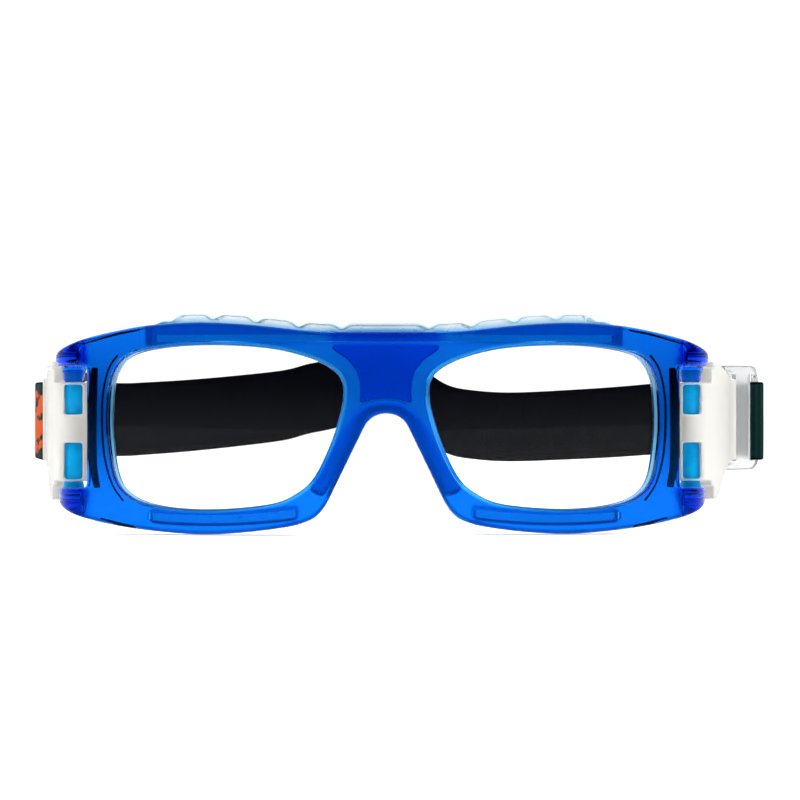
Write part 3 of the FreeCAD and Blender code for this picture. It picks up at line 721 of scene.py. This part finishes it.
def make_brow_pad():
    xs = np.arange(-57, 57.01, 0.4)
    top_curve = spline(mirrored(TOP_EDGE), 0.5)
    base = np.interp(xs, top_curve[:, 0], top_curve[:, 1])
    fade = smooth_step((57.5 - np.abs(xs)) / 9.0)
    top = base + (0.9 + 1.2 * scallops(xs)) * fade
    low_points = spline(mirrored([(0, 19.9), (8, 19.95), (14, 19.95), (20, 19.7), (28, 19.5),
                                  (40, 20.2), (57, 18.8)]), 0.5)
    low = np.interp(xs, low_points[:, 0], low_points[:, 1])
    outline = np.vstack([np.stack([xs, low], 1), np.stack([xs, top], 1)[::-1]])
    outline = counter_clockwise(softened(outline, 0.5, 0.6))
    piece = plate("brow_pad_silicone", [(outline, edge_profile(0.7))], wrap,
                  constant(PAD_FRONT), constant(PAD_FRONT + 7), 1.0)
    spots = np.array([list(v.co) for v in piece.data.vertices]) / MM
    edge = np.interp(spots[:, 0], top_curve[:, 0], top_curve[:, 1])
    # Painted light: blue and dark below the rim's top edge, where light reaches the pad through
    # the blue rim, pale above it, and darkest behind the middle of the bridge.
    rise = np.clip(0.3 + 0.6 * (spots[:, 2] - edge) / 2.2, 0.3, 1)
    set_rise(piece, rise - 0.3 * smooth_step((15 - np.abs(spots[:, 0])) / 4) * (rise < 0.31))
    dressed(piece, SILICONE, "silicone_clear", "front", "brow_pad")


def set_rise(piece, rise):
    """Painted light on the clear silicone: from 0, a dark blue tint standing for light seen
    through the blue rim in front of it, to 1, clear.
    """
    paint(piece.data, "rise", rise)


def make_nose_pad():
    inner = np.array([(14.6, -16.2), (5.9, -0.4), (4.5, 2.0), (2.4, 3.3), (0, 3.8)])
    outer = np.array([(0, 6.5), (4.2, 5.9), (7.6, 3.4), (10.2, -0.6), (18.2, -14.4)])
    ring = np.vstack([inner, inner[::-1][1:] * (-1, 1), outer[::-1][:-1] * (-1, 1), outer])
    outline = counter_clockwise(softened(ring, 1.4, 0.6))
    piece = plate("nose_pad_silicone", [(outline, edge_profile(0.7))], wrap,
                  constant(PAD_FRONT), constant(PAD_FRONT + 5.6), 1.2)
    remeshed(piece, 0.3, 2)
    # Painted light: the nose pad is tinted dark blue, as if lit through the rim in front of it.
    set_rise(piece, np.full(len(piece.data.vertices), 0.25))
    dressed(piece, SILICONE, "silicone_clear", "front", "nose_pad")


def make_cheek_pads():
    for side, word in ((-1, "left"), (1, "right")):
        low, high = sorted((20.5 * side, 56 * side))
        outline = capsule(low, high, cheek_line, 3.5, 1.3)
        piece = plate("cheek_pad_%s_silicone" % word, [(outline, edge_profile(0.7))], wrap,
                      constant(PAD_FRONT), constant(PAD_FRONT + 3.9), 1.2)
        # Painted light: the cheek pads are tinted dark blue, as if lit through the rim in front of
        # them.
        set_rise(piece, np.full(len(piece.data.vertices), 0.35))
        dressed(piece, SILICONE, "silicone_clear", "front", "cheek_pad_" + word)


# ---------------------------------------------------------------- moulded pieces from the CAD
def refined(node, voxel, rounds, name):
    """A copy of a CAD node's shape with soft moulded edges."""
    piece = nodes[node].copy()
    piece.data = nodes[node].data.copy()
    piece.name = name
    piece.parent = None
    for key in list(piece.keys()):
        del piece[key]
    piece.matrix_world = Matrix.Identity(4)
    bpy.context.scene.collection.objects.link(piece)
    return remeshed(piece, voxel, rounds)


def remeshed(piece, voxel, rounds):
    """Gives the piece an even closed mesh with softened edges."""
    piece.modifiers.clear()
    remesh = piece.modifiers.new("remesh", "REMESH")
    remesh.mode = "VOXEL"
    remesh.voxel_size = voxel * MM
    soften = piece.modifiers.new("soften", "SMOOTH")
    soften.factor = 0.5
    soften.iterations = rounds
    bpy.context.view_layer.update()
    graph = bpy.context.evaluated_depsgraph_get()
    mesh = bpy.data.meshes.new_from_object(piece.evaluated_get(graph))
    piece.modifiers.clear()
    piece.data = mesh
    mesh.shade_smooth()
    return piece


def make_moulded():
    for word in ("left", "right"):
        arm = refined("side_arm_" + word, 0.28, 6, "side_arm_%s_rubber" % word)
        dressed(arm, RUBBER, "arm_frosted", "arm_" + word, "side_arm_" + word)
        ring = refined("strap_ring_" + word, 0.16, 4, "strap_ring_%s_plastic" % word)
        dressed(ring, SMOKY, "ring_clear", "ring_" + word, "strap_ring_" + word)
        slider = refined("strap_slider_" + word, 0.2, 3, "strap_slider_%s_plastic" % word)
        dressed(slider, BLACK, "slider_black", "slider_" + word, "strap_slider_" + word)


# ---------------------------------------------------------------- strap
# Plan of the strap's course: the rings' bars, the corners of the band with the radii of its
# bends, and the sliders with the centres of the bends that they ride round.
BAR = {"left": (-79.767, 49.196), "right": (91.983, 44.089)}
SIDE_CORNER = {"left": (-86.0, 91.0), "right": (101.5, 108.0)}
SIDE_BEND = {"left": 38.0, "right": 42.0}
REAR_CORNER = {"left": (-18.0, 153.0), "right": (38.0, 171.0)}
REAR_BEND = {"left": 120.0, "right": 42.0}
SLIDER = {"left": (-76.847, 98.288), "right": (89.461, 119.698)}
SLIDER_BEND = {"left": (-46.104, 75.952), "right": (57.288, 92.701)}
FOLD_RADIUS = 1.6
TAIL_OFFSET = 3.3    # from the outer layer to the slider's middle bar
STRAP_Z = 1.4
STRAP_WIDTH = 19.0
STRAP_THICK = 1.2
LOOP_RADIUS, LOOP_TURN = 1.75, 300       # the sewn loop round the slider's middle bar
FOLD_RUN, SIDE_RUN = 9.0, 30.0           # how far from the ring each part of the layers ends
RIGHT_BARE_START, RIGHT_BARE_RUN = 40, 25
LEFT_BARE_RUN = 14
# Height of the band above its middle line, by x: the dip and hump at the back of it.
WAVE = [(-62, 0), (-48, 0.9), (-34, 2.2), (-21.5, 3.7), (-15, 5.4), (-8, 6.8), (0, 9.2),
        (6.4, 11.0), (12.5, 8.8), (18, 3.6), (23.5, -0.1), (30, -1.6), (42, -2.3), (63, -1.2),
        (77, 0)]


def v2(x, y=None):
    return Vector((x, y) if y is not None else x)


def rounded_path(points, radii, step=1.0):
    """Points along straight runs joined by tangent arcs."""
    points = [v2(p) for p in points]
    path = [points[0]]
    for before, corner, after, radius in zip(points, points[1:], points[2:], radii):
        inward, outward = (corner - before).normalized(), (after - corner).normalized()
        turn = math.atan2(inward.x * outward.y - inward.y * outward.x, inward.dot(outward))
        first = corner - inward * radius * math.tan(abs(turn) / 2)
        side = math.copysign(radius, turn)
        centre = first + v2(-inward.y, inward.x) * side
        count = max(2, int(abs(turn) * radius / step), int(abs(turn) / 0.12))
        for k in range(count + 1):
            at = first - centre
            at.rotate(Matrix.Rotation(turn * k / count, 2))
            path.append(centre + at)
    path.append(points[-1])
    return np.array([list(p) for p in path])


def fold_frame(word):
    """Where the band leaves the fold round the ring's bar, its direction and the inward one."""
    side = 1 if word == "right" else -1
    bar, corner = v2(BAR[word]), v2(SIDE_CORNER[word])
    along = (corner - bar).normalized()
    slant = math.asin(FOLD_RADIUS / (corner - bar).length)
    along.rotate(Matrix.Rotation(side * slant, 2))
    inward = v2(-side * along.y, side * along.x)
    return bar, along, inward, side


def outer_point(word):
    bar, _, inward, _ = fold_frame(word)
    return bar - inward * FOLD_RADIUS


def band_path():
    """Centre line of the whole outer layer, from the left fold round the back to the right."""
    points = [outer_point("left"), SIDE_CORNER["left"], REAR_CORNER["left"],
              REAR_CORNER["right"], SIDE_CORNER["right"], outer_point("right")]
    radii = [SIDE_BEND["left"], REAR_BEND["left"], REAR_BEND["right"], SIDE_BEND["right"]]
    return resample(rounded_path(points, radii), 1.2, closed=False)


def tail_path(word):
    """From the outer layer round the ring's bar and along the inside to the slider's bar."""
    bar, along, inward, side = fold_frame(word)
    points = []
    for k in range(17):
        spoke = -inward * FOLD_RADIUS
        spoke.rotate(Matrix.Rotation(-side * math.pi * k / 16, 2))
        points.append(list(bar + spoke))
    centre, hub = v2(SLIDER[word]), v2(SLIDER_BEND[word])
    pin = centre + (hub - centre).normalized() * TAIL_OFFSET
    reach = v2(SIDE_CORNER[word]) - outer_point(word)
    first = outer_point(word) + along * (reach.length - bend_reach(word))
    knee = first + inward * (TAIL_OFFSET + 0.5) + along * 6
    inner = bar + inward * FOLD_RADIUS
    ahead = (pin - knee).normalized()
    across = v2(-side * ahead.y, side * ahead.x)
    run = rounded_path([inner, inner + along * 2, knee, pin + across * LOOP_RADIUS], [25, 25])
    points += [list(p) for p in run[1:]]
    for k in range(1, 22):
        spoke = across * LOOP_RADIUS
        spoke.rotate(Matrix.Rotation(-side * math.radians(LOOP_TURN) * k / 21, 2))
        points.append(list(pin + spoke))
    return resample(np.array(points), 0.7, closed=False)


def bend_reach(word):
    """How far before its side corner the band starts to bend."""
    other = v2(REAR_CORNER[word]) - v2(SIDE_CORNER[word])
    reach = v2(SIDE_CORNER[word]) - outer_point(word)
    turn = reach.normalized().angle(other.normalized())
    return SIDE_BEND[word] * math.tan(turn / 2)


def arc_lengths(path):
    return np.concatenate([[0], np.cumsum(np.linalg.norm(np.diff(path, axis=0), axis=1))])


def band(name, path, lift, bare, start=0.0, flip=False):
    """A strip of webbing with soft edges along a path. The outer face has the first material,
    whose print fades out where bare is 1."""
    half, thin, edge = STRAP_WIDTH / 2, STRAP_THICK / 2, 0.5
    section = [(thin, v) for v in np.linspace(-half + edge, half - edge, 13)]
    for k in range(1, 4):
        turn = math.pi * k / 4
        section.append((thin * math.cos(turn), half - edge + edge * math.sin(turn)))
    section += [(-n, -v) for n, v in section]
    along = np.gradient(path, axis=0)
    along /= np.linalg.norm(along, axis=1)[:, None]
    normal = np.stack([-along[:, 1], along[:, 0]], axis=1) * (-1 if flip else 1)
    run = start + arc_lengths(path) * (-1 if flip else 1)
    co = [(path[i, 0] + normal[i, 0] * n, path[i, 1] + normal[i, 1] * n,
           STRAP_Z + lift[i] + v) for i in range(len(path)) for n, v in section]
    count = len(section)
    faces, marks, uvs = [], [], []
    for i in range(len(path) - 1):
        for k in range(count):
            j = (k + 1) % count
            faces.append((i * count + k, i * count + j, (i + 1) * count + j,
                          (i + 1) * count + k))
            marks.append(0 if k < 12 else 1)
            v_low, v_high = section[k][1], section[j][1]
            uvs += [(run[i], v_low), (run[i], v_high), (run[i + 1], v_high), (run[i + 1], v_low)]
    ends = [tuple(range(count)), tuple(range((len(path) - 1) * count, len(path) * count))]
    faces += ends
    marks += [1, 1]
    for end, at in zip(ends, (run[0], run[-1])):
        uvs += [(at, section[i % count][1]) for i in end]
    mesh = bpy.data.meshes.new(name)
    mesh.from_pydata([tuple(c * MM for c in v) for v in co], [], faces)
    layer = mesh.uv_layers.new(name="metres")
    layer.data.foreach_set("uv", (np.array(uvs) * MM).ravel())
    mesh.polygons.foreach_set("material_index", marks)
    paint(mesh, "bare", np.repeat(bare, count))
    piece = bpy.data.objects.new(name, mesh)
    bpy.context.scene.collection.objects.link(piece)
    work = bmesh.new()
    work.from_mesh(mesh)
    bmesh.ops.recalc_face_normals(work, faces=work.faces)
    work.to_mesh(mesh)
    work.free()
    mesh.shade_smooth()
    mesh.set_sharp_from_angle(angle=math.radians(60))
    mesh.materials.append(WEBBING)
    mesh.materials.append(LINING)
    return piece


def stretch(path, run, low, high, margin):
    """The part of a path between two distances along it, with its ends exactly there."""
    inner = run[(run > low + margin) & (run < high - margin)]
    at = np.concatenate([[low], inner, [high]])
    return at, np.stack([np.interp(at, run, path[:, k]) for k in (0, 1)], axis=1)


def make_strap():
    path = band_path()
    run = arc_lengths(path)
    knots = spline(WAVE, 1.0)
    lift = np.interp(path[:, 0], knots[:, 0], knots[:, 1])
    lift[path[:, 1] < 100] = 0
    cuts = {"left": (FOLD_RUN, SIDE_RUN), "right": (run[-1] - SIDE_RUN, run[-1] - FOLD_RUN)}

    def cut(low, high):
        """Part of the outer layer: its path, its lift and how bare it is."""
        at, spots = stretch(path, run, low, high, 0.2)
        bare = smooth_step((at - run[-1] + RIGHT_BARE_START) / RIGHT_BARE_RUN)
        return spots, np.interp(at, run, lift), bare

    main, raised, bare = cut(cuts["left"][1], cuts["right"][0])
    rear = band("strap_band", main, raised, bare, cuts["left"][1])
    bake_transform(rear)
    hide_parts("strap_rear", "strap_side_left", "strap_side_right")
    for word in ("left", "right"):
        side = 1 if word == "right" else -1
        near = band("strap_near_%s" % word, *cut(*cuts[word]), cuts[word][0])
        tail = tail_path(word)
        tail_run = arc_lengths(tail)
        fold_length = math.pi * FOLD_RADIUS
        bar, along, _, _ = fold_frame(word)

        def tail_cut(low, high):
            """Part of the inner layer: its path, its lift and how bare it is."""
            at, spots = stretch(tail, tail_run, low, high, 0.1)
            bare = smooth_step(at / LEFT_BARE_RUN) if side < 0 else np.ones(len(at))
            return spots, np.zeros(len(at)), bare

        outer, _, outer_bare = cut(*((0, FOLD_RUN) if side < 0 else (run[-1] - FOLD_RUN, run[-1])))
        first, _, first_bare = tail_cut(0, fold_length + FOLD_RUN)
        loop = np.vstack([outer[::side], first[1:]])
        loop_bare = np.concatenate([outer_bare[::side], first_bare[1:]])
        at_ring = run[-1] if side > 0 else 0.0
        fold = band("strap_fold_%s" % word, loop, np.zeros(len(loop)), loop_bare,
                    at_ring - side * FOLD_RUN, flip=side < 0)
        under = band("strap_under_%s" % word,
                     *tail_cut(fold_length + FOLD_RUN, fold_length + SIDE_RUN),
                     at_ring + side * (fold_length + FOLD_RUN), flip=side < 0)
        end = band("strap_end_%s" % word, *tail_cut(fold_length + SIDE_RUN, tail_run[-1]),
                   at_ring + side * (fold_length + SIDE_RUN), flip=side < 0)
        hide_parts("strap_tail_" + word)
        marks = [bar + along * distance for distance in (0, FOLD_RUN, SIDE_RUN)]
        marks = [(p.x * MM, p.y * MM, 0) for p in marks]
        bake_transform(fold)
        for piece in (near, under):
            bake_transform(piece)
        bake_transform(end)


# ---------------------------------------------------------------- studio
def make_studio():
    scene = bpy.context.scene
    scene.view_settings.view_transform = "Standard"
    world = bpy.data.worlds.new("studio")
    scene.world = world
    world.use_nodes = True
    tree = world.node_tree
    back = tree.nodes["Background"]
    coords = tree.nodes.new("ShaderNodeTexCoord")
    split = tree.nodes.new("ShaderNodeSeparateXYZ")
    link(tree, coords.outputs["Generated"], split.inputs["Vector"])
    ahead = ranged(tree, split.outputs["Z"], 0.8, 0.03, -0.012, 0.004)
    behind = ranged(tree, split.outputs["Y"], 0, 1, -0.5, 0.3)
    level = tree.nodes.new("ShaderNodeMix")
    level.inputs["B"].default_value = 1.15
    link(tree, behind, level.inputs["Factor"])
    link(tree, ahead, level.inputs["A"])
    link(tree, level.outputs["Result"], back.inputs["Strength"])
    back.inputs["Color"].default_value = (1, 1, 1, 1)

    floor_z = cad_bounds[0][2] - 0.0002
    mesh = bpy.data.meshes.new("floor")
    near, far = -3.0, 6.0
    mesh.from_pydata([(-far, near, floor_z), (far, near, floor_z), (far, far, floor_z),
                      (-far, far, floor_z)], [], [(0, 1, 2, 3)])
    floor = bpy.data.objects.new("floor", mesh)
    scene.collection.objects.link(floor)
    made, tree, shader = material("floor", Roughness=0.9, Emission_Strength=0.35,
                                  Emission_Color=(1, 1, 1, 1))
    tint = ranged(tree, noise(tree, 3), 0.92, 0.95)
    mix = tree.nodes.new("ShaderNodeCombineColor")
    for channel in ("Red", "Green", "Blue"):
        link(tree, tint, mix.inputs[channel])
    link(tree, mix.outputs["Color"], shader.inputs["Base Color"])
    mesh.materials.append(made)

    lamps = (("key", (-0.55, -0.75, 0.95), 0.6, 9.0), ("fill", (0.7, -0.55, 0.7), 0.6, 6.0),
             ("top", (0.0, 0.25, 1.1), 0.9, 9.0))
    for name, spot, size, power in lamps:
        light = bpy.data.lights.new(name, "AREA")
        light.size = size
        light.energy = power
        lamp = bpy.data.objects.new(name, light)
        lamp.visible_glossy = lamp.visible_transmission = False
        lamp.location = spot
        aim = Vector((0, 0.04, 0)) - Vector(spot)
        lamp.rotation_euler = aim.to_track_quat("-Z", "Y").to_euler()
        scene.collection.objects.link(lamp)


CAMERA_DISTANCE = 850
CAMERA_TURN = 2.5        # degrees about the vertical
CAMERA_WIDTH = 183.2     # what the picture spans at the front frame
CAMERA_AIM = (3.1, FRONT_Y, 6.5)


def make_camera():
    turn = math.radians(CAMERA_TURN)
    target = Vector([value * MM for value in CAMERA_AIM])
    data = bpy.data.cameras.new("camera")
    data.sensor_width = 36
    data.lens = data.sensor_width * CAMERA_DISTANCE / CAMERA_WIDTH
    data.clip_start = 0.01
    camera = bpy.data.objects.new("camera", data)
    ahead = Vector((math.sin(turn), math.cos(turn), 0))
    camera.location = target - ahead * (CAMERA_DISTANCE * MM)
    camera.rotation_euler = ahead.to_track_quat("-Z", "Y").to_euler()
    bpy.context.scene.collection.objects.link(camera)
    bpy.context.scene.camera = camera


make_studio()
make_camera()
make_front()
make_wall_shade_lines()
make_stubs()
make_lenses()
make_brow_pad()
make_nose_pad()
make_cheek_pads()
make_moulded()
make_strap()
